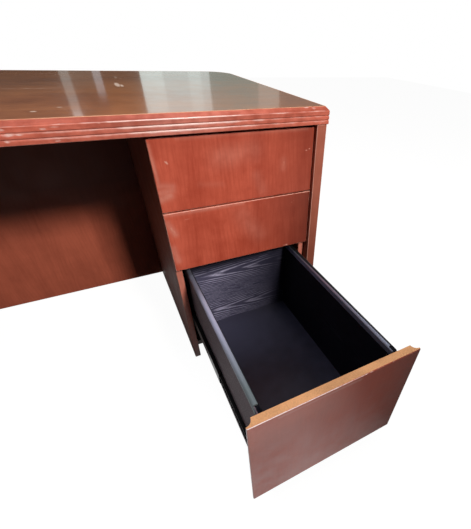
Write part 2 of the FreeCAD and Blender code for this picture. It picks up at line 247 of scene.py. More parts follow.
def new_piece(name, rings, materials, body, slot, zones, sharp_degrees=32, **shares):
    """A closed section carried along a path: rings[i, j] is point j of the section at station i.

    The section runs counter-clockwise about the path, so quads between neighbouring stations face
    outwards, and a flat face closes each end. zones gives the material of each strip of quads along
    the path. shares are named attributes, with a value for each point.
    """
    stations, around = rings.shape[:2]
    index = np.arange(stations * around).reshape(stations, around)
    ahead = np.roll(index, -1, axis=1)
    quads = np.stack([index[:-1], ahead[:-1], ahead[1:], index[1:]], axis=-1).reshape(-1, 4)
    ends = [index[0, ::-1].tolist(), index[-1].tolist()]
    mesh = bpy.data.meshes.new(name)
    mesh.from_pydata(rings.reshape(-1, 3), [], quads.tolist() + ends)
    for material in materials:
        mesh.materials.append(material)
    faces = np.concatenate([np.tile(zones, stations - 1), np.zeros(len(ends))])
    mesh.polygons.foreach_set("material_index", faces.astype(np.int32))
    mesh.polygons.foreach_set("use_smooth", np.ones(len(faces), bool))
    mesh.set_sharp_from_angle(angle=math.radians(sharp_degrees))
    for title, share in shares.items():
        attribute = mesh.attributes.new(title, "FLOAT", "POINT")
        attribute.data.foreach_set("value", share.ravel().astype(np.float32))
    mesh.update()
    piece = bpy.data.objects.new(name, mesh)
    bpy.context.scene.collection.objects.link(piece)
    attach(piece, body)
    return piece


def dress(material, *names):
    """Give CAD nodes a material in their own slots."""
    for name in names:
        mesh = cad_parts[name].data
        for place in range(len(mesh.materials)):
            mesh.materials[place] = material


def soften(width, *names):
    """Round the sharp edges of CAD nodes to the eye, by a weld and a bevel."""
    for name in names:
        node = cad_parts[name]
        weld = node.modifiers.new("weld", "WELD")
        weld.merge_threshold = 0.01 * MM
        bevel = node.modifiers.new("soft_edges", "BEVEL")
        bevel.width = width
        bevel.segments = 2
        bevel.limit_method = "ANGLE"
        bevel.angle_limit = math.radians(40)


def drawer_nodes(*pieces, drawers=DRAWERS):
    """Names of the given pieces of every drawer that has them."""
    names = [f"{drawer}_{piece}" for drawer in drawers for piece in pieces]
    return [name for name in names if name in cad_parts]


def bell(distance, width):
    """A bell curve: one at no distance, and almost nothing beyond twice the width."""
    return np.exp(-((distance / width) ** 2))


# Materials
def rings_cut(tree, distance, height, sway, ring_mm, depth_mm, taper, sway_mm, crowding=0.0):
    """Growth rings as a board cut along a tapering log shows them: the share of the way to the next ring.

    A ring's radius is the root of the squared distance from the nearest heart and a squared depth, which
    gives nested arches. It changes with the height by the taper and sways with a noise. Away from the
    heart the rings crowd, by the squared distance.
    """
    square = add(tree, "Math", (distance, distance, (depth_mm * MM) ** 2), operation="MULTIPLY_ADD")
    radius = add(tree, "Math", (square,), operation="SQRT")
    for value, share in ((square, crowding), (height, taper), (sway, 2 * sway_mm * MM)):
        radius = add(tree, "Math", (value, share, radius), operation="MULTIPLY_ADD")
    rings = add(tree, "Math", (radius, per_metre(ring_mm)), operation="MULTIPLY")
    return add(tree, "Math", (rings,), operation="FRACT")


def wood(name, dark, light, along, band_mm, streak_mm, roughness, coat=0.0, coat_roughness=0.3, specular=0.5,
         arch_mm=None, blotch_mm=60, break_mm=7, spots=(), worn=None, bleached=None):
    """Stained and lacquered wood, its grain along one axis.

    Broad bands and fine streaks are noise stretched along the grain, with a blotchy stain over them.
    With an arch width, flat-cut veneer shows nested arches of rings, in places only, as the stain hides
    them elsewhere. Where the stain attribute says so, the wood is darker: a deeper stain, or painted
    shade where a piece puts it. Where the wear attribute says so, the lacquer is rubbed through to pale
    wood, in patches that spread and join as the wear grows; in places that paints a highlight. The haze
    attribute is a veil of fine scratches, which on the reeds also paints light. Spots are worn ovals:
    centre and half sizes along X and Y in mm, and wear. Two places along Y, if given, make the wood
    paler up to the first and darker past the second.
    """
    material, tree = new_material(name)
    place = add(tree, "TexCoord", output="Object")
    bands = long_grain(tree, place, along, 0.16, band_mm, detail=3.0, distortion=0.5)
    streaks = long_grain(tree, place, along, 0.05, streak_mm, detail=4.0, roughness=0.65)
    breaks = long_grain(tree, place, along, 0.25, break_mm, detail=4.0)
    blotches = add(tree, "TexNoise", (place, per_metre(blotch_mm), 6.0, 0.62))
    figure = -0.2
    for noise, share in ((streaks, 0.3), (bands, 0.6), (blotches, 0.5)):
        figure = add(tree, "Math", (noise, share, figure), operation="MULTIPLY_ADD")
    if arch_mm:
        across = add(tree, "VectorMath", (place, (1, 1, 0)), operation="DOT_PRODUCT")
        across = add(tree, "Math", (across, arch_mm / 2 * MM), operation="PINGPONG")
        height = add(tree, "SeparateXYZ", (place,), "XYZ"[along])
        ring = rings_cut(tree, across, height, bands, ring_mm=11, depth_mm=9, taper=0.11, sway_mm=9)
        line = add(tree, "ValToRGB", (ring,), stops=[
            (0.0, (0.15,) * 3), (0.5, (0.0,) * 3), (0.86, (1.0,) * 3), (1.0, (0.15,) * 3),
        ])
        clear = add(tree, "MapRange", (blotches, 0.42, 0.62))
        line = add(tree, "Math", (line, clear), operation="MULTIPLY")
        figure = add(tree, "Math", (line, -0.09, figure), operation="MULTIPLY_ADD")
    tone = add(tree, "MapRange", (figure, 0.36, 0.64))
    stain = add(tree, "Mix", (tone, dark, light), data_type="RGBA")
    if bleached:
        pale_share, full_share = 1.18, 0.74
        depth = add(tree, "SeparateXYZ", (place,), "Y")
        share = add(tree, "MapRange", (depth, *bleached, pale_share, full_share))
        stain = add(tree, "VectorMath", (stain, share), operation="SCALE")
    # Darker where the stain attribute says so: deeper stain, or painted shade
    deep = add(tree, "Attribute", output="Fac", attribute_name="stain")
    stain = add(tree, "Mix", (deep, stain, scaled(dark, 0.18)), data_type="RGBA")
    wear = add(tree, "Attribute", output="Fac", attribute_name="wear")
    for x, y, half_x, half_y, strength in spots:
        oval = add(tree, "Mapping", {
            "Vector": place, "Scale": (per_metre(half_x), per_metre(half_y), 0),
            "Location": (-x / half_x, -y / half_y, 0),
        })
        distance = add(tree, "VectorMath", (oval,), operation="LENGTH")
        spot = add(tree, "MapRange", (distance, 0.4, 1.0, strength, 0.0))
        wear = add(tree, "Math", (wear, spot), operation="MAXIMUM")
    rubbed = add(tree, "Math", (wear, 0.9, breaks), operation="MULTIPLY_ADD")
    rubbed = add(tree, "MapRange", (rubbed, 0.78, 1.15, 0.0, 0.9))
    # The haze attribute: a veil of scratches, which on the reeds also paints light
    veil = add(tree, "Attribute", output="Fac", attribute_name="haze")
    veil = add(tree, "Math", (veil, blotches), operation="MULTIPLY")
    pale = add(tree, "Math", (rubbed, veil), operation="MAXIMUM")
    bare = worn or finishes().worn_wood
    relief = add(tree, "Bump", {"Height": streaks, "Strength": 0.06, "Distance": 0.2 * MM})
    surfaced(tree, {
        "Base Color": add(tree, "Mix", (pale, stain, bare), data_type="RGBA"), "Normal": relief,
        "Roughness": add(tree, "MapRange", (blotches, 0.3, 0.7, roughness - 0.06, roughness + 0.08)),
        "Coat Weight": coat, "Coat Roughness": coat_roughness, "Specular IOR Level": specular,
    })
    return material


def front_veneer(name="cherry_veneer_satin_lacquered", worn=None, specular=0.25, even=0.0):
    """Cherry veneer with upright grain, stained red and sprayed with satin lacquer: warm, softly shiny.

    Even is how far the stain hides the dark figure.
    """
    finish = finishes()
    dark = Vector(finish.front_dark).lerp(Vector(finish.front_light), even)
    return wood(
        name, dark, finish.front_light, Z, band_mm=60, streak_mm=5, roughness=0.38, coat=0.08,
        coat_roughness=0.2, specular=specular, arch_mm=190, blotch_mm=40, worn=worn,
    )


def panel_veneer():
    """The same veneer on the panels, darker and duller: it has been polished less."""
    finish = finishes()
    return wood(
        "cherry_panel_veneer_lacquered", finish.panel_dark, finish.panel_light, Z, band_mm=80, streak_mm=6,
        roughness=0.5, specular=0.26, arch_mm=230,
    )


def moulding_wood(name, along):
    """Solid cherry, milled to reeds and lacquered: pale lines along the crests are partly wear and partly
    painted highlight.
    """
    finish = finishes()
    return wood(
        name, finish.moulding_dark, finish.moulding_light, along, band_mm=40, streak_mm=4, roughness=0.34,
        coat=0.15, coat_roughness=0.15, specular=0.4, blotch_mm=22, worn=finish.worn_moulding,
    )


def top_veneer():
    """Cherry veneer under a thick polished lacquer: it mirrors the windows where one looks along it."""
    finish = finishes()
    return wood(
        "cherry_top_veneer_polished_lacquer", finish.top_dark, finish.top_light, X, band_mm=90, streak_mm=6,
        roughness=0.35, coat=0.9, coat_roughness=0.1, spots=TOP_MARKS, worn=finish.top_scratch,
        # The top is paler towards the front and darker towards the back
        bleached=(250 * MM, 760 * MM),
    )


def carcass_board():
    """Chipboard faced with a dark printed foil: brown, dull, faintly streaked."""
    shade = finishes().carcass
    return wood(
        "chipboard_foil_faced", shade, scaled(shade, 1.5), Z, band_mm=50, streak_mm=5, roughness=0.55,
        specular=0.3,
    )


def worn_arris():
    """Cherry with the lacquer worn off along the joint: a thin golden line, broken here and there."""
    finish = finishes()
    material, tree = new_material("cherry_arris_worn_through")
    place = add(tree, "TexCoord", output="Object")
    breaks = add(tree, "TexNoise", (place, per_metre(60), 5.0))
    shade = add(tree, "ValToRGB", (breaks,), stops=[(0.5, finish.worn_arris), (0.75, finish.moulding_dark)])
    surfaced(tree, {"Base Color": shade, "Roughness": 0.45})
    return material


def raw_fibreboard():
    """Fibreboard as the saw left it: pale tan, dry and finely mottled with fibre bundles."""
    pale = finishes().raw_edge
    material, tree = new_material("fibreboard_sawn_edge")
    place = add(tree, "TexCoord", output="Object")
    fibres = add(tree, "TexNoise", (place, per_metre(3), 5.0))
    stains = add(tree, "TexNoise", (place, per_metre(45), 3.0))
    both = add(tree, "Mix", (0.55, fibres, stains))
    shade = add(tree, "ValToRGB", (both,), stops=[(0.36, scaled(pale, 0.7)), (0.6, pale)])
    relief = add(tree, "Bump", {"Height": fibres, "Strength": 0.3, "Distance": 0.3 * MM})
    surfaced(tree, {"Base Color": shade, "Roughness": 0.75, "Normal": relief})
    return material


def black_ash(name, along, heart, stain, grain, specular, roughness, bare=None):
    """Flat-sawn ash stained black: pale open grain in nested arches over a dark, faintly blue ground.

    Hearts follow each other up the veneer. The rings are drawn about twice as wide as in ash, so that
    they show at this distance. Along the grain past the heart, and above it, painted shade darkens the
    board and hides them. bare is a place along X: before it, painted light makes the face paler and
    speckled.
    """
    heart_mm = 145.0
    material, tree = new_material(name)
    place = add(tree, "TexCoord", output="Object")
    centred = add(tree, "Mapping", {"Vector": place, "Location": [-value for value in heart]})
    parts = add(tree, "SeparateXYZ", (centred,)).node.outputs
    sway = long_grain(tree, place, along, 0.3, 45, detail=3.0)
    distance = add(tree, "Math", (parts[Z], heart_mm / 2 * MM), operation="PINGPONG")
    ring = rings_cut(
        tree, distance, parts[along], sway, ring_mm=9, depth_mm=14, taper=-0.07, sway_mm=6, crowding=8.0
    )
    line = add(tree, "ValToRGB", (ring,), stops=[
        (0.0, (0.08,) * 3), (0.5, (0.06,) * 3), (0.8, (1.0,) * 3), (1.0, (0.12,) * 3),
    ])
    pores = long_grain(tree, place, along, 0.1, 3, detail=3.0, roughness=0.7)
    open_grain = add(tree, "MapRange", (pores, 0.32, 0.54))
    early = add(tree, "MapRange", (distance, 0.0, 0.35 * heart_mm * MM, 1.0, 0.6))
    amount = add(tree, "Math", (line, open_grain), operation="MULTIPLY")
    amount = add(tree, "Math", (amount, early), operation="MULTIPLY")
    shade = add(tree, "Mix", (amount, stain, grain), data_type="RGBA")
    # Painted shade: the board darkens along the grain past the heart, and above it
    fresh = add(tree, "MapRange", (parts[along], 50 * MM, 290 * MM, 0.0, 0.94))
    under = add(tree, "MapRange", (parts[Z], -2 * MM, 30 * MM, 0.0, 0.9))
    hidden = add(tree, "Math", (fresh, under), operation="MAXIMUM")
    shade = add(tree, "Mix", (hidden, shade, scaled(stain, 0.2)), data_type="RGBA")
    # Painted light: before bare the face is paler and speckled, as if lit from the left
    if bare is not None:
        dust = add(tree, "TexNoise", (place, per_metre(2.5), 4.0))
        dusty = add(tree, "ValToRGB", (dust,), stops=[(0.3, linear("#40383E")), (0.7, linear("#827278"))])
        across = add(tree, "SeparateXYZ", (place,), "X")
        before = add(tree, "Math", (across, bare), operation="LESS_THAN")
        shade = add(tree, "Mix", (before, shade, dusty), data_type="RGBA")
    relief = add(tree, "Bump", {"Height": amount, "Strength": 0.4, "Distance": 0.3 * MM})
    surfaced(tree, {
        "Base Color": shade, "Roughness": roughness, "Normal": relief, "Specular IOR Level": specular,
    })
    return material


def coated(name, shade, roughness, speck_mm, metallic=0.0, specular=0.5, dust=None):
    """A smooth sheet under a coat of paint or plating: a fine unevenness that scatters the highlights.

    An optional painted sheen is a colour, the places along X between which it ends, and those along Y between
    which it starts.
    """
    material, tree = new_material(name)
    place = add(tree, "TexCoord", output="Object")
    specks = add(tree, "TexNoise", (place, per_metre(speck_mm), 3.0))
    rubs = add(tree, "TexNoise", (place, per_metre(35), 4.0))
    tint = add(tree, "ValToRGB", (rubs,), stops=[(0.35, scaled(shade, 0.8)), (0.7, scaled(shade, 1.15))])
    # A painted sheen, fading out along X and in along Y
    if dust:
        dust_shade, across, along = dust
        x, y = add(tree, "SeparateXYZ", (place,)).node.outputs[:2]
        ends = add(tree, "MapRange", (x, *across, 1.0, 0.1))
        starts = add(tree, "MapRange", (y, *along))
        amount = add(tree, "Math", (ends, starts), operation="MULTIPLY")
        tint = add(tree, "Mix", (amount, tint, dust_shade), data_type="RGBA")
    relief = add(tree, "Bump", {"Height": specks, "Strength": 0.12, "Distance": 0.1 * MM})
    surfaced(tree, {
        "Base Color": tint, "Metallic": metallic, "Normal": relief, "Specular IOR Level": specular,
        "Roughness": add(tree, "MapRange", (specks, 0.0, 1.0, roughness - 0.1, roughness + 0.12)),
    })
    return material


def black_hardboard(low, high):
    """Hardboard with a black coat on its smooth face: plain, faintly blue, with hardly any sheen.

    low and high are the box of the file drawer's bottom, where a painted sheen lies at the back and to the
    left.
    """
    finish = finishes()
    size = high - low
    return coated("hardboard_black_coat", finish.bottom_coat, 0.42, 4, dust=(
        finish.bottom_dust, (low.x, low.x + 0.85 * size.x), (low.y + 0.55 * size.y, low.y + size.y),
    ))


def slide_steel():
    """Roll-formed steel with a baked black coat: dark, with a soft sheen along the bends."""
    shade = finishes().slide_coat
    return coated("steel_roll_formed_black_coat", shade, 0.38, 2, specular=0.2)


def zinc_plate():
    """Pressed steel, zinc plated: pale grey metal with cloudy spangles."""
    return coated("steel_pressed_zinc_plated", finishes().zinc, 0.36, 5, metallic=1.0)


def moulded_nylon():
    """Moulded nylon, almost black, with the faint grain of the mould."""
    return coated("nylon_moulded_black", finishes().nylon, 0.5, 1)


def rail_steel(low, high):
    """Roll-formed steel under a dark coat, with pale steel showing on top.

    low and high are the box of the pair of rails in the file drawer. The left rail is pale on top
    from a third of its length on, bright at first and dull at the front: painted shadow behind that, and a
    painted reflection in its tints. The right rail is pale along the inner edge, in a painted highlight
    that widens from the back to the front.
    """
    rail_width, cap_width, strip_back, strip_front = 14.4 * MM, 11 * MM, 1 * MM, 6 * MM
    finish = finishes()
    material, tree = new_material("steel_roll_formed_rubbed_coat")
    place = add(tree, "TexCoord", output="Object")
    x, y = add(tree, "SeparateXYZ", (place,)).node.outputs[:2]
    run = high.y - low.y
    # Painted shadow over the rear of the left rail's cap
    started = add(tree, "MapRange", (y, high.y - 0.36 * run, high.y - 0.25 * run, 1.0, 0.42))
    top = add(tree, "MapRange", (x, low.x + cap_width, low.x + cap_width + MM, 1.0, 0.0))
    cap_bare = add(tree, "Math", (started, top), operation="MULTIPLY")
    # Painted highlight along the right rail's inner edge, widening to the front
    reach = add(tree, "MapRange", (y, low.y, high.y, strip_front, strip_back))
    edge = add(tree, "Math", (reach, high.x - rail_width), operation="ADD")
    inside = add(tree, "Math", (edge, x), operation="SUBTRACT")
    strip_bare = add(tree, "MapRange", (inside, -0.5 * MM, 0.5 * MM))
    right = add(tree, "Math", (x, (low.x + high.x) / 2), operation="GREATER_THAN")
    # Where the steel shows pale, by painted light and shade
    rubbed = add(tree, "Mix", (right, cap_bare, strip_bare))
    left = add(tree, "Math", (1.0, right), operation="SUBTRACT")
    # Painted reflection: the left rail's pale steel dulls towards the front
    age = add(tree, "MapRange", (y, low.y + 0.1 * run, low.y + 0.45 * run, 1.0, 0.0))
    age = add(tree, "Math", (age, left), operation="MULTIPLY")
    steel = add(tree, "Mix", (age, finish.rail_bare, finish.rail_dull), data_type="RGBA")
    metal = add(tree, "Math", (right, 0.6, 0.2), operation="MULTIPLY_ADD")
    specks = add(tree, "TexNoise", (place, per_metre(3), 3.0))
    surfaced(tree, {
        "Base Color": add(tree, "Mix", (rubbed, finish.rail_coat, steel), data_type="RGBA"),
        "Roughness": add(tree, "MapRange", (specks, 0.0, 1.0, 0.35, 0.6)),
        "Metallic": add(tree, "Math", (rubbed, metal), operation="MULTIPLY"), "Specular IOR Level": 0.15,
    })
    return material


# Pieces
def edge_section(depth, height):
    """Section of the reeded moulding: distance out from its joint, drop from the top, zone and crest share.

    A flat and a bevel lead to the nose, a short parabola through the bevel's end and the first reed.
    Every reed is a flat face rounded at its head and foot by quarter ellipses, which meet in the grooves.
    """
    detail = bpy.context.scene.desk_details
    reeds, turn_points, face_points = 3, 7, 3
    bevel, nose, groove = detail.edge_bevel, detail.edge_nose, detail.reed_groove
    reed = (height - bevel) / reeds
    flat_end, corner, down = np.array([detail.edge_flat, 0]), np.array([depth, bevel]), np.array([0, reed])
    slope = corner - flat_end
    slope_length = np.linalg.norm(slope)
    nose_start, nose_end = corner - slope / slope_length * nose, corner + np.array([0, nose])
    t = np.linspace(0, 1, turn_points)[:, None]
    nose_curve = (1 - t) ** 2 * nose_start + 2 * t * (1 - t) * corner + t ** 2 * nose_end
    share = np.array([0, detail.edge_joint / slope_length, 0.4, 0.7])[:, None]
    bevel_line = flat_end + share * (nose_start - flat_end)
    turn = np.linspace(0, math.pi / 2, turn_points)
    head = np.stack([depth - groove * (1 - np.sin(turn)), detail.reed_head * (1 - np.cos(turn))], 1)[1:]
    foot = np.stack([depth - groove * (1 - np.cos(turn)), reed - detail.reed_foot * (1 - np.sin(turn))], 1)
    nose_face, face = (
        np.stack([
            np.full(face_points, depth), np.linspace(start, reed - detail.reed_foot, face_points + 2)[1:-1],
        ], 1)
        for start in (nose, detail.reed_head)
    )
    below = [nose_face, foot]
    below += [part + down * number for number in range(1, reeds) for part in (head, face, foot)]
    below = np.concatenate(below) + np.array([0, bevel])
    points = np.concatenate([[[0, 0]], bevel_line, nose_curve, below, [[0, height]]])
    plain = np.zeros(len(face) + len(foot))
    reed_crest = np.concatenate([np.sin(2 * turn)[1:], plain])
    crest = np.concatenate([
        np.zeros(1 + len(bevel_line)), np.sin(np.pi * t[:, 0]), plain, np.tile(reed_crest, reeds - 1), [0],
    ])
    zones = np.zeros(len(points), int)
    zones[:2] = 1
    return points, zones, crest


class DESK_OT_mouldings(bpy.types.Operator):
    """Reeded mouldings round both tops, mitred at the corners and chipped by use"""

    bl_idname = "desk.mouldings"
    bl_label = "Mouldings"

    # The length that is worn, how far apart its stations are and those of the others, and how many a turn has
    worn_length, worn_step, plain_step, corner_stations = "desk_front_moulding", 5 * MM, 60 * MM, 33
    # How deep the bevel's stain and the grooves' painted shade are, and how far wood and crests are rubbed
    bevel_stain, groove_stain, usual_rub, crest_rub = 0.42, 0.45, 0.05, 0.38
    # Where the crests are paler, from wear and painted highlight, how widely, and how much more it is rubbed
    # there
    handled_at, handled_width, handled_rub = 480 * MM, 110 * MM, 1.4
    # The haze on its reeds, a pale veil that also paints light on their faces, and how much more at the
    # highlight
    reed_haze, handled_haze = 0.1, 0.3
    # Where its bevel is paler, how widely, how much less stain is left there, and the haze
    bleached_at, bleached_width, bleached_stain, bleached_haze = 550 * MM, 140 * MM, 0.26, 0.15
    # Chips in it, which are worn alike: place across the desk, drop from the top, length, width, depth, in mm
    chip_wear = 0.8
    chips = (
        (184, 13, 7, 3, 0.6), (192, 21, 8, 4, 0.6), (207, 22, 5, 2.5, 0.5), (186, 32, 6, 3, 0.5),
        (243, 15, 6, 2.2, 0.5), (258, 35, 6, 1.6, 0.3), (262, 13, 9, 1, 0.3), (330, 10, 3, 1.2, 0.3),
        (655, 22, 4, 1.2, 0.3), (774, 1, 8, 2, 0.8), (795, 4, 4, 1.5, 0.4),
    )

    def strip(self, name, node, start, end, mitre_start=False, mitre_end=False):
        """A length of moulding from start to end of its outer line, with the top on its left hand.

        A mitred end is cut at 45 degrees: it draws back by a point's distance from the outer line.
        """
        start, end = np.array(start), np.array(end)
        run = np.linalg.norm(end - start)
        along = (end - start) / run
        inwards = np.array([-along[1], along[0]])
        back = self.depth - self.points[:, 0]
        worn = name == self.worn_length
        share = np.linspace(0, 1, int(run / (self.worn_step if worn else self.plain_step)))[:, None]
        travel = mitre_start * back + share * (run - (mitre_start + mitre_end) * back)
        plan = start + travel[..., None] * along + back[None, :, None] * inwards
        rise = np.broadcast_to(self.top - self.points[:, 1], travel.shape)
        rings = np.concatenate([plan, rise[..., None]], axis=2)
        wear, stain, haze = self.plain_shares(travel.shape)
        if worn:
            # Painted highlight, with some real wear, on the crests around the middle of the front length
            handled = bell(plan[..., 0] - self.handled_at, self.handled_width)
            bleached = bell(plan[..., 0] - self.bleached_at, self.bleached_width)
            wear = wear * (1 + self.handled_rub * handled)
            stain = stain - self.bleached_stain * bleached * self.on_bevel
            haze = self.reed_haze + self.handled_haze * handled
            haze = np.where(self.on_bevel, self.bleached_haze * bleached, haze)
            for x, drop, reach, width, deep in self.chips:
                dent = bell(plan[..., 0] - x * MM, reach * MM)
                dent = dent * bell(self.points[:, 1] - drop * MM, width * MM)
                wear = np.maximum(wear, self.chip_wear * dent)
                rings[..., :2] += (deep * MM * dent)[..., None] * inwards
        self.make(name, node, rings, wear, stain, haze, self.woods[int(np.argmax(np.abs(along)))])

    def corner(self, name, node, centre, first_degrees):
        """A quarter turn of moulding: the section's distance out adds to the radius of the joint."""
        angle = np.radians(first_degrees) + np.linspace(0, math.pi / 2, self.corner_stations)[:, None]
        radius = self.radius - self.depth + self.points[:, 0]
        plan = [centre[0] + radius * np.cos(angle), centre[1] + radius * np.sin(angle)]
        rise = np.broadcast_to(self.top - self.points[:, 1], plan[0].shape)
        self.make(name, node, np.stack([*plan, rise], axis=2), *self.plain_shares(rise.shape), self.woods[X])

    def plain_shares(self, shape):
        """Wear, stain and haze of a length of moulding that sees little use."""
        return np.broadcast_to(self.wear, shape), np.broadcast_to(self.stain, shape), np.zeros(shape)

    def make(self, name, node, rings, wear, stain, haze, material):
        """The piece itself, in place of its node."""
        piece = new_piece(
            name, rings, [material, self.arris], "desk", "edge_moulding", self.zones, sharp_degrees=40,
            wear=wear, stain=stain, haze=haze,
        )
        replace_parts(piece, node)

    def execute(self, context):
        low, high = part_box("desk_edge_front")
        self.depth, self.top = high.y - low.y, high.z
        self.points, self.zones, crest = edge_section(self.depth, high.z - low.z)
        hollow = np.clip((self.depth - self.points[:, 0]) / context.scene.desk_details.reed_groove, 0, 1)
        self.on_bevel = self.points[:, 1] <= context.scene.desk_details.edge_bevel
        # Painted shade deepens towards the foot of each reed, into the groove
        self.stain = np.where(self.on_bevel, self.bevel_stain, self.groove_stain * hollow ** 2)
        # Crests are rubbed pale: partly wear, partly painted highlight
        self.wear = self.usual_rub + self.crest_rub * crest
        self.woods = [moulding_wood("cherry_moulding_milled_" + "xy"[along], along) for along in (X, Y)]
        self.arris = worn_arris()
        left, front, right, back = low.x, low.y, high.x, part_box("desk_edge_back")[1].y
        arc_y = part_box("desk_edge_ends")[1].y
        self.radius = back - arc_y
        arc_x = right - self.radius
        self.strip("desk_front_moulding", "desk_edge_front", (left, front), (right, front), True, True)
        self.strip("desk_right_moulding", "desk_edge_ends", (right, front), (right, arc_y), True)
        self.strip("desk_left_moulding", "desk_edge_ends", (left, arc_y), (left, front), False, True)
        self.strip("desk_back_moulding", "desk_edge_back", (arc_x, back), (-arc_x, back))
        self.corner("desk_right_corner_moulding", "desk_edge_corners", (arc_x, arc_y), 0)
        self.corner("desk_left_corner_moulding", "desk_edge_corners", (-arc_x, arc_y), 90)
        low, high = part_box("return_edges")
        self.strip("return_front_moulding", "return_edges", (high.x, low.y), (high.x, high.y), True)
        self.strip("return_end_moulding", "return_edges", (low.x, low.y), (high.x, low.y), True, True)
        self.strip("return_outer_moulding", "return_edges", (low.x, high.y), (low.x, low.y), False, True)
        return {"FINISHED"}


class DESK_OT_tops(bpy.types.Operator):
    """Polished veneer on both tops"""

    bl_idname = "desk.tops"
    bl_label = "Tops"

    def execute(self, context):
        dress(top_veneer(), "desk_top_panel", "return_top_panel")
        return {"FINISHED"}


class DESK_OT_panels(bpy.types.Operator):
    """Standing panels and pedestal sides as veneered boards with rounded, rubbed arrises"""

    bl_idname = "desk.panels"
    bl_label = "Panels"

    names = (
        "right_end_panel", "left_end_panel", "return_end_panel", "modesty_panel", "return_modesty_panel",
        "desk_pedestal_knee_side", "desk_pedestal_end_side", "desk_pedestal_back",
    )
    # Sides of a board, counted from the one at the back
    front_side, right_side = 2, 3
    # Boards in the shade of the top get painted shade: the height in mm where it starts, and how deep it is
    shaded = {"modesty_panel_veneered": (365, 0.82), "desk_pedestal_knee_side_veneered": (-200, 0.75)}
    # How far arrises are rubbed, and on which boards more
    usual_rub, rubbed = 0.5, {"right_end_panel_veneered": 1.0}
    # Stations up a board and points round each of its corners
    levels, corner_points = 24, 5
    # How high the painted shade at a board's foot reaches, and the height over which its shade deepens
    grime, fading = 300 * MM, 130 * MM
    # How deep the painted shade is at a panel's foot, how far that fades, and the haze on a banded edge and
    # on another
    foot_grime, grime_fades, band_haze, edge_haze = 0.88, 0.6, 0.7, 0.2

    def board(self, name, low, high, radius, edge=None, banded=False):
        """A board with its arrises rounded: a rounded rectangle carried upwards.

        Corner points lie at half the size less the radius, plus the radius times the direction. At the
        ends the radius shrinks as a quarter circle, so the ends are rounded alike. edge is the side that
        faces the user, where its arris is hazed and painted shade darkens its foot. On a pedestal it is
        banded.
        """
        turn = np.linspace(0, math.pi / 2, self.corner_points)
        angle = (np.arange(4)[:, None] * math.pi / 2 + turn).ravel()
        half = (np.array(high) - np.array(low)) / 2
        middle = (np.array(high) + np.array(low)) / 2
        sign = np.repeat([[1, 1], [-1, 1], [-1, -1], [1, -1]], len(turn), axis=0)
        flat = np.linspace(-1, 1, self.levels)[1:-1]
        rise = np.concatenate([turn, np.full(len(flat), math.pi / 2), turn[::-1]])
        side = np.concatenate([np.full(len(turn), -1), flat, np.full(len(turn), 1)])
        reach = radius * np.sin(rise)[:, None, None]
        plan = middle[:2] + sign * (half[:2] - radius) + reach * np.stack([np.cos(angle), np.sin(angle)], 1)
        height = (middle[2] + side * (half[2] - radius + radius * np.cos(rise)))[:, None]
        rings = np.concatenate([plan, np.broadcast_to(height[..., None], (*plan.shape[:2], 1))], axis=2)

        every = np.ones(len(angle))
        wear = np.maximum(np.tile(np.sin(2 * turn), 4), np.sin(2 * rise)[:, None] * every)
        wear = wear * self.rubbed.get(name, self.usual_rub)
        start, depth = self.shaded.get(name, (0, 0))
        # Painted shade under the top: the board darkens above a height
        stain = depth * np.clip((height - start * MM) / self.fading + 0.5, 0, 1) * every
        haze = np.zeros(wear.shape)
        zones = np.zeros(len(angle), int)
        if edge is not None:
            first = len(turn) * (edge + 1)
            shown = slice(first - 2, first + 2)
            zones[first - 1] = banded
            # Painted shade near the floor: the board darkens towards its foot
            clean = np.clip((height - low[2]) / (self.grime if banded else 2 * self.grime), 0, 1)
            stain = np.maximum(stain, 1 - clean if banded else self.foot_grime - self.grime_fades * clean)
            haze[:, shown] = clean * (self.band_haze if banded else self.edge_haze)
            if banded:
                stain[:, shown] = 1 - clean
        return new_piece(
            name, rings, [self.veneer, self.band], "desk", "panel_veneer", zones,
            wear=wear, stain=stain, haze=haze,
        )

    def execute(self, context):
        radius = context.scene.desk_details.panel_arris
        self.veneer, self.band = panel_veneer(), front_veneer("cherry_edge_band_satin_lacquered")
        for name in self.names:
            edge = self.front_side if "end" in name or "side" in name else None
            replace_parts(self.board(name + "_veneered", *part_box(name), radius, edge, "side" in name), name)
        low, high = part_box("return_pedestal_sides")
        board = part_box("desk_pedestal_knee_side")
        thickness = board[1].x - board[0].x
        for side, start in (("end", low.y), ("knee", high.y - thickness)):
            name = f"return_pedestal_{side}_side_veneered"
            corners = (low.x, start, low.z), (high.x, start + thickness, high.z)
            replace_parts(self.board(name, *corners, radius, self.right_side, True), "return_pedestal_sides")
        return {"FINISHED"}


class DESK_OT_carcass(bpy.types.Operator):
    """Dark foil on the boards inside the pedestals"""

    bl_idname = "desk.carcass"
    bl_label = "Carcass"

    def execute(self, context):
        dress(
            carcass_board(), "desk_pedestal_floor", "desk_pedestal_rails",
            "return_pedestal_floor", "return_pedestal_rails", "return_pedestal_back",
        )
        return {"FINISHED"}


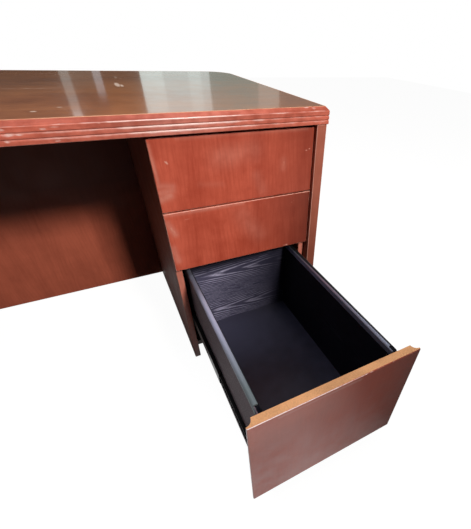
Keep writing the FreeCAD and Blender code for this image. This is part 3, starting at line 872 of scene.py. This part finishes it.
class DESK_OT_fronts(bpy.types.Operator):
    """Drawer fronts: veneered faces, sawn edges, and finger coves down the back of both ends"""

    bl_idname = "desk.fronts"
    bl_label = "Drawer fronts"

    # Scuffs on the faces: place along and up at both ends, width, all in mm, and strength
    scuffs = {
        "top_drawer": (
            (30, 113, 34, 109, 2.5, 0.75), (378, 106, 391, 111, 1.6, 0.8), (315, 76, 316, 84, 3.5, 0.42),
            (8, 48, 22, 50, 3, 0.5), (5, 36, 16, 38, 3, 0.5), (286, 44, 287, 44, 2.5, 0.55),
        ),
        "middle_drawer": (
            (10, 126, 18, 110, 5, 0.5), (329, 5, 332, 5, 2.5, 0.9), (321, 5, 322, 5, 2.5, 0.8),
            (340, 138, 352, 141, 1.5, 0.4), (40, 140, 60, 143, 2, 0.4), (8, 60, 14, 40, 5, 0.35),
        ),
        "file_drawer": ((40, 250, 52, 252, 1.5, 0.3), (210, 120, 216, 126, 1.5, 0.25)),
    }
    # Smears in the lacquer, given in the same way
    smears = {
        "top_drawer": (
            (4, 64, 34, 60, 7, 0.55), (4, 48, 30, 52, 9, 0.6), (3, 34, 24, 40, 9, 0.75),
            (2, 150, 6, 70, 4, 0.6), (60, 158, 380, 158, 4, 0.35), (150, 110, 230, 120, 26, 0.28),
            (96, 56, 150, 50, 7, 0.14), (240, 60, 255, 20, 14, 0.2), (315, 70, 316, 90, 9, 0.2),
        ),
        "middle_drawer": (
            (5, 140, 18, 108, 8, 0.6), (6, 70, 12, 30, 8, 0.5), (190, 130, 240, 60, 26, 0.22),
            (4, 158, 200, 158, 4, 0.5),
        ),
        "file_drawer": ((60, 306, 240, 306, 4, 0.5), (0, 290, 150, 290, 80, 0.22)),
    }
    # How far a front's arrises are rubbed, and how fast that fades to the right past a share of the width:
    # the pale line on the top arris is partly wear and partly painted highlight
    rubbed = {"file_drawer": (0.95, 1.4), "middle_drawer": (0.9, 0.0), "top_drawer": (0.9, 0.6)}
    usual_rub, fading_start = (0.5, 0.0), 0.3
    # How far its rear arris and its top edge are rubbed compared with that, and how far its ends are
    rear_rub, top_rub, end_rub = 0.8, 0.9, 0.7
    # Where along a front it darkens to the right, how dark it is at the right end, and how it gets there: the
    # veneer's own tone, and on the file drawer partly painted shade
    stained = {"top_drawer": (0.5, 0.45), "middle_drawer": (0.4, 0.8), "file_drawer": (0.3, 0.82)}
    usual_stain, stain_curve = (0.5, 0.3), 1.3
    sawn_edges = ("file_drawer", "return_lower")
    # How far apart points are, how many turn an arris and a cove, and the angle that starts a cove
    step, arris_points, cove_points, cove_start = 3 * MM, 5, 12, 0.12

    def stroked(self, local, strokes):
        """How strong the strokes are at each point: a bell curve of its distance from the nearest one."""
        share_at = np.zeros(local.shape[:2])
        for x0, z0, x1, z1, size, strength in strokes:
            first, span = np.array([x0, z0]) * MM, np.array([x1 - x0, z1 - z0]) * MM
            point = local[..., [0, 2]] - first
            share = np.clip(point @ span / (span @ span), 0, 1)
            distance = np.linalg.norm(point - share[..., None] * span, axis=2)
            share_at = np.maximum(share_at, strength * bell(distance, size * MM))
        return share_at

    def front(self, drawer, order, sign):
        """A drawer front: an upright section carried along its width.

        The back of each end is hollowed by a cove, a quarter circle about the front's rear edge, so the
        depth there is the full depth less the root of the squared radius less the squared distance in.
        The face rounds off over the arris at every edge. Order gives the axes that the width, the depth
        and the height lie along, and sign is minus one on an axis that runs against them.
        """
        low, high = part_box(f"{drawer}_front")
        width, depth, height = ((high - low)[axis] for axis in order)
        detail = bpy.context.scene.desk_details
        arris = detail.front_arris
        cove = depth - detail.front_tip
        quarter = np.linspace(0, math.pi / 2, self.arris_points)
        cove_turn = np.linspace(self.cove_start, math.pi / 2, self.cove_points)
        end = np.concatenate([arris * (1 - np.cos(quarter)), cove * np.sin(cove_turn)])
        middle = np.linspace(cove, width - cove, int((width - 2 * cove) / self.step))[1:-1]
        across = np.concatenate([end, middle, width - end[::-1]])
        inset = np.minimum(across, width - across)
        rear = depth - np.sqrt(np.maximum(cove ** 2 - inset ** 2, 0))[:, None]
        face = arris - np.sqrt(np.maximum(arris ** 2 - np.maximum(arris - inset, 0) ** 2, 0))[:, None]

        # The section runs up the back, over the top edge, down the face and along the foot
        drop = np.linspace(height - arris, arris, int((height - 2 * arris) / self.step))[1:-1]
        turn_down = height - arris + arris * np.cos(quarter)
        up = np.concatenate([[0, height, height], turn_down, drop, height - turn_down[::-1], [0]])
        plain, rounding, corner_rub = np.zeros(len(drop)), 1 - np.sin(quarter), np.sin(2 * quarter)
        depth_at = face + (arris - face) * np.concatenate([[0, 0, 0], rounding, plain, rounding[::-1], [0]])
        depth_at[:, :2] = rear
        depth_at[:, [2, -1]] = (rear + arris) / 2
        across_at, up_at = np.broadcast_arrays(across[:, None], up)
        local = np.stack([across_at, depth_at, up_at], axis=2)
        rings = np.where(np.array(sign) > 0, low, high) + local[..., order] * sign

        on_face = np.ones(len(up))
        on_face[[0, 1, 2, -1]] = 0
        edge_rub = np.concatenate([[0, self.rear_rub, self.top_rub], corner_rub, plain, corner_rub, [0]])
        turned = np.arccos(np.clip(1 - inset / arris, -1, 1))
        side_rub = np.where(inset < arris, np.sin(2 * turned), 0)[:, None]
        # Arris rub: partly wear, partly painted highlight that fades to the right
        rubbed, fading = self.rubbed.get(drawer, self.usual_rub)
        rubbed = rubbed * (1 - fading * np.clip(across / width - self.fading_start, 0, 1))[:, None]
        wear = np.maximum(edge_rub * rubbed, side_rub * (self.end_rub - fading / 2) * on_face)
        wear = np.maximum(wear, self.stroked(local, self.scuffs.get(drawer, ())) * on_face)
        haze = self.stroked(local, self.smears.get(drawer, ())) * on_face
        # Darker to the right: the veneer's tone, and on the file drawer partly painted shade
        start, deepest = self.stained.get(drawer, self.usual_stain)
        share = np.clip((across / width - start) / (1 - start), 0, 1)
        stain = np.broadcast_to((deepest * share ** self.stain_curve)[:, None], depth_at.shape)
        zones = np.zeros(len(up), int)
        zones[0] = 2
        if drawer in self.sawn_edges:
            zones[[1, 2, -2, -1]] = 1
        veneer = self.chipped if drawer == "file_drawer" else self.veneer
        piece = new_piece(
            f"{drawer}_veneered_front", rings, [veneer, self.sawn, self.backing], drawer, "front_veneer",
            zones, sharp_degrees=50, wear=wear, stain=stain, haze=haze,
        )
        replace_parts(piece, f"{drawer}_front")

    def execute(self, context):
        self.veneer, self.sawn, self.backing = front_veneer(), raw_fibreboard(), panel_veneer()
        # The open front's pale arris line is partly wear and partly painted highlight
        self.chipped = front_veneer(
            "cherry_veneer_chipped_lacquer", finishes().chipped, specular=0.42, even=0.6
        )
        for drawer in DESK_DRAWERS:
            self.front(drawer, [X, Y, Z], [1, 1, 1])
        for drawer in RETURN_DRAWERS:
            self.front(drawer, [Y, X, Z], [-1, 1, 1])
        return {"FINISHED"}


class DESK_OT_boxes(bpy.types.Operator):
    """Black-stained ash on the drawer boxes"""

    bl_idname = "desk.boxes"
    bl_label = "Drawer boxes"

    # Where the heart lies on a drawer's end, in shares of its width and height, and how much lower on a side
    heart_across, heart_up, sides_drop = -0.02, 0.77, 350 * MM

    def execute(self, context):
        finish = finishes()
        low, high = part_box("file_drawer_ends")
        size = high - low
        heart = np.array([low.x + self.heart_across * size.x, low.y, low.z + self.heart_up * size.z])
        straight = heart - np.array([0, 0, self.sides_drop])
        pale = {"stain": finish.box_stain, "grain": finish.box_grain, "specular": 0.35, "roughness": 0.5}
        dark = {
            "stain": scaled(finish.box_stain, 0.2), "grain": scaled(finish.box_grain, 0.15),
            "specular": 0.2, "roughness": 0.7,
        }
        # Painted light on the outer face of the left side
        dusty_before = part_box("file_drawer_sides")[0].x + 4 * MM
        groups = (DESK_DRAWERS, X, Y, dusty_before), (RETURN_DRAWERS, Y, X, None)
        for drawers, across, along, bare in groups:
            ends = black_ash("ash_veneer_stained_black_" + "xy"[across], across, heart, **pale)
            dress(ends, *drawer_nodes("ends", drawers=drawers))
            sides = black_ash("ash_straight_stained_black_" + "xy"[along], along, straight, **dark, bare=bare)
            dress(sides, *drawer_nodes("sides", drawers=drawers))
        dress(black_hardboard(*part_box("file_drawer_bottom")), *drawer_nodes("bottom"))
        return {"FINISHED"}


class DESK_OT_slides(bpy.types.Operator):
    """Black coated telescopic slides"""

    bl_idname = "desk.slides"
    bl_label = "Slides"

    def execute(self, context):
        names = drawer_nodes("slide_inners", "slide_middles")
        dress(slide_steel(), "desk_slide_outers", "return_slide_outers", *names)
        return {"FINISHED"}


class DESK_OT_file_rails(bpy.types.Operator):
    """Hanging-file rails, pale on top, with painted light and shade"""

    bl_idname = "desk.file_rails"
    bl_label = "File rails"

    def execute(self, context):
        names = drawer_nodes("file_rails")
        dress(rail_steel(*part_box("file_drawer_file_rails")), *names)
        soften(0.6 * MM, *names)
        return {"FINISHED"}


class DESK_OT_fittings(bpy.types.Operator):
    """Plated brackets and plates, and moulded glides"""

    bl_idname = "desk.fittings"
    bl_label = "Fittings"

    def execute(self, context):
        dress(zinc_plate(), "fixing_brackets", "joining_plates")
        dress(moulded_nylon(), "floor_glides")
        return {"FINISHED"}


# Studio
def upright(x0, x1, z0, z1, y):
    """Corners of a rectangle that stands across the room."""
    return [(x0, y, z0), (x1, y, z0), (x1, y, z1), (x0, y, z1)]


def level(x0, x1, y0, y1, z):
    """Corners of a rectangle that lies level."""
    return [(x0, y0, z), (x1, y0, z), (x1, y1, z), (x0, y1, z)]


class DESK_OT_stage(bpy.types.Operator):
    """Pale floor, soft lamps, a wall of windows that the top mirrors, and the camera"""

    bl_idname = "desk.stage"
    bl_label = "Stage"

    # Strips of the wall behind the desk: start and end across, foot and head, in mm, colour and strength
    strips = (
        (178, 246, 700, 1230, "#E0E4DC", 0.36),
        (407, 466, 700, 1100, "#EEF0F2", 0.46),
        (760, 945, 700, 1900, "#E2F2EE", 1.06),
        (945, 1165, 700, 1900, "#E2F2EE", 0.88),
        (1165, 1275, 700, 1900, "#E2F2EE", 1.0),
        (1275, 1355, 700, 1900, "#E2F2EE", 0.87),
        (1355, 1840, 700, 1900, "#C2DCD2", 0.48),
        (1840, 2075, 700, 1900, "#DADCD0", 0.62),
        (2075, 4200, 700, 1900, "#B4B4AA", 0.40),
        (-4200, 178, 700, 990, "#A49484", 0.14),
        (-4200, 178, 990, 1035, "#A49484", 0.32),
        (-4200, 178, 1035, 1900, "#A49484", 0.16),
        (246, 407, 700, 1035, "#A89C8C", 0.38),
        (246, 407, 1035, 1900, "#A88E74", 0.18),
        (407, 466, 1100, 1900, "#A07050", 0.16),
        (466, 760, 700, 1035, "#A89484", 0.24),
        (466, 760, 1035, 1900, "#A87C54", 0.4),
    )
    # A net that shades the open drawer: corners across and up, in metres
    net = ((0.5, 0.02), (1.8, 0.02), (1.8, 1.3), (0.936, 1.25), (0.633, 1.157), (0.5, 1.157))
    # Places of the wall and the net along Y, and heights of the ceiling and the mats on the floor
    wall_y, net_y, ceiling_z, mat_z = 3.0, -1.05, 2.7, 4 * MM

    def seen(self, tree):
        """One for a ray from the camera, a mirror or a glass, and nothing for scattered light."""
        path = add(tree, "LightPath").node.outputs
        seen = add(tree, "Math", (path["Is Camera Ray"], path["Is Glossy Ray"]), operation="MAXIMUM")
        seen = add(tree, "Math", (seen, path["Is Transmission Ray"]), operation="MAXIMUM")
        unscattered = add(tree, "Math", (path["Diffuse Depth"], 0.5), operation="LESS_THAN")
        return add(tree, "Math", (seen, unscattered), operation="MULTIPLY")

    def sheet(self, name, corners, material):
        """A flat sheet of the stage."""
        mesh = bpy.data.meshes.new(name)
        mesh.from_pydata(corners, [], [range(len(corners))])
        mesh.materials.append(material)
        sheet = bpy.data.objects.new(name, mesh)
        bpy.context.scene.collection.objects.link(sheet)
        return sheet

    def floor(self, size):
        """White to the eye, with a light shadow, and grey to the light that it throws back."""
        material, tree = new_material("studio_floor_painted_white")
        place = add(tree, "TexCoord", output="Object")
        scuffs = add(tree, "TexNoise", (place, per_metre(400), 3.0))
        pale = add(tree, "ValToRGB", (scuffs,), stops=[(0.3, linear("#F0EFED")), (0.7, linear("#F6F5F3"))])
        lit = add(tree, "BsdfDiffuse", {"Color": pale})
        glow = add(tree, "Emission", {"Color": (1, 1, 1), "Strength": 1.1})
        white = add(tree, "MixShader", (0.88, lit, glow))
        grey = add(tree, "BsdfDiffuse", {"Color": linear("#1E1E1E")})
        add(tree, "OutputMaterial", (add(tree, "MixShader", (self.seen(tree), grey, white)),))
        half = size / 2
        self.sheet("floor", level(-half, half, -half, half, 0), material)

    def card(self, name, corners, shade, strength, passes=None, shadow=False):
        """A glowing strip, a card or a net that mirrors show but the camera doesn't.

        Passes is the share of the light that a net lets pass: a number, or two places along X and the
        shares there.
        """
        material, tree = new_material(name + "_matt_cloth")
        strength = add(tree, "Math", (self.seen(tree), strength), operation="MULTIPLY")
        surface = add(tree, "Emission", {"Color": linear(shade), "Strength": strength})
        if isinstance(passes, tuple):
            across = add(tree, "SeparateXYZ", (add(tree, "TexCoord", output="Object"),), "X")
            passes = add(tree, "MapRange", (across, *passes))
        if passes is not None:
            surface = add(tree, "MixShader", (passes, surface, add(tree, "BsdfTransparent")))
        add(tree, "OutputMaterial", (surface,))
        card = self.sheet(name, corners, material)
        card.visible_camera = card.visible_diffuse = False
        card.visible_shadow = shadow

    def lamp(self, name, place, target, size, power, shade, mirrored=False):
        """A square soft lamp that faces a target."""
        data = bpy.data.lights.new(name, "AREA")
        data.shape = "SQUARE"
        data.size = size
        data.energy = power
        data.color = linear(shade)
        lamp = bpy.data.objects.new(name, data)
        lamp.location = place
        lamp.rotation_euler = (Vector(target) - Vector(place)).to_track_quat("-Z", "Y").to_euler()
        lamp.visible_camera = False
        lamp.visible_glossy = mirrored
        bpy.context.scene.collection.objects.link(lamp)

    def room(self):
        """What the object mirrors: the wall and ceiling, nets before the drawers, and shaded floor."""
        for number, (*sides, shade, strength) in enumerate(self.strips):
            corners = upright(*(side * MM for side in sides), self.wall_y)
            self.card(f"daylight_strip_{number}", corners, shade, strength)
        self.card("net", [(x, self.net_y, z) for x, z in self.net], "#5A3A30", 0.3, passes=0.29, shadow=True)
        self.card("cloth", upright(-1.2, 0.5, 0.02, 1.157, self.net_y), "#5A3A30", 0.3, passes=0.29)
        # Mats that mirrors see on the floor: painted shade on the kneehole's floor, and the floor darker
        # right of the drawers
        for name, sides, passes in (
            ("side_mat", (0.55, 1.6, -0.79, 0.2), (0.58, 0.86, 1.0, 0.12)),
            ("kneehole_mat", (-0.8, 0.4, 0.24, 0.82), (0.2, 0.36, 0.5, 0.08)),
        ):
            self.card(name, level(*sides, self.mat_z), "#8A6E66", 0.35, passes)
        self.card("front_ceiling", level(-3, 3, -3, 1.5, self.ceiling_z), "#C8D0CC", 0.75)
        self.card("back_ceiling", level(-3, 5, 1.5, 3, self.ceiling_z), "#6A5E58", 0.1)
        self.card("back_wall", upright(-4, 5, 1.9, self.ceiling_z, self.wall_y), "#6A5E58", 0.1)

    def world(self, ambient):
        """White to the eye and to mirrors, and a faint light from all round."""
        world = bpy.data.worlds.new("studio")
        world.use_nodes = True
        tree = world.node_tree
        tree.nodes.clear()
        soft = add(tree, "Background", {"Color": linear("#F2F4FA"), "Strength": ambient})
        white = add(tree, "Background", {"Color": (1, 1, 1), "Strength": 1.0})
        add(tree, "OutputWorld", (add(tree, "MixShader", (self.seen(tree), soft, white)),))
        return world

    def execute(self, context):
        scene = context.scene
        stage = scene.desk_stage
        self.floor(stage.floor_size)
        self.room()
        self.lamp(
            "key", (1.17, -2.68, 2.64), (0.5, 0.24, 0.5), 0.5, stage.key_power, "#FFF4EC", mirrored=True
        )
        self.lamp("ceiling", (0.2, 0.3, 2.5), (0.2, 0.3, 0), 1.5, stage.ceiling_power, "#F4F7FF")
        self.lamp("back", (-1.6, 3.4, 0.42), (-0.2, 0.98, 0.3), 0.8, stage.back_power, "#FFF8F0")
        scene.world = self.world(stage.ambient)
        scene.view_settings.view_transform = "Standard"

        data = bpy.data.cameras.new("camera")
        data.lens = stage.camera_lens
        data.shift_x, data.shift_y = stage.camera_shift
        data.clip_start = 0.01
        camera = bpy.data.objects.new("camera", data)
        camera.location = stage.camera_place
        camera.rotation_euler = Euler(stage.camera_turn)
        scene.collection.objects.link(camera)
        scene.camera = camera
        return {"FINISHED"}


OPERATORS = (
    DESK_OT_stage, DESK_OT_mouldings, DESK_OT_tops, DESK_OT_panels, DESK_OT_carcass, DESK_OT_fronts,
    DESK_OT_boxes, DESK_OT_slides, DESK_OT_file_rails, DESK_OT_fittings,
)


class DESK_PT_looks(bpy.types.Panel):
    """Settings and steps of the desk's looks."""

    bl_idname = "DESK_PT_looks"
    bl_label = "Desk looks"
    bl_space_type = "VIEW_3D"
    bl_region_type = "UI"
    bl_category = "Desk"

    def draw(self, context):
        scene = context.scene
        for settings in (scene.desk_finishes, scene.desk_details, scene.desk_stage):
            box = self.layout.box()
            for name in settings.__annotations__:
                box.prop(settings, name)
        for operator in OPERATORS:
            self.layout.operator(operator.bl_idname)


SETTINGS = {"desk_finishes": DeskFinishes, "desk_details": DeskDetails, "desk_stage": DeskStage}
CLASSES = (*SETTINGS.values(), *OPERATORS, DESK_PT_looks)


def register():
    """Register every class and hang the settings on the scene."""
    for cls in CLASSES:
        bpy.utils.register_class(cls)
    for name, cls in SETTINGS.items():
        setattr(bpy.types.Scene, name, PointerProperty(type=cls))


def unregister():
    """Undo what register did."""
    for name in SETTINGS:
        delattr(bpy.types.Scene, name)
    for cls in reversed(CLASSES):
        bpy.utils.unregister_class(cls)


def main():
    """Dress the frame step by step."""
    register()
    for operator in OPERATORS:
        group, step = operator.bl_idname.split(".")
        getattr(getattr(bpy.ops, group), step)()


if __name__ == "__main__":
    main()
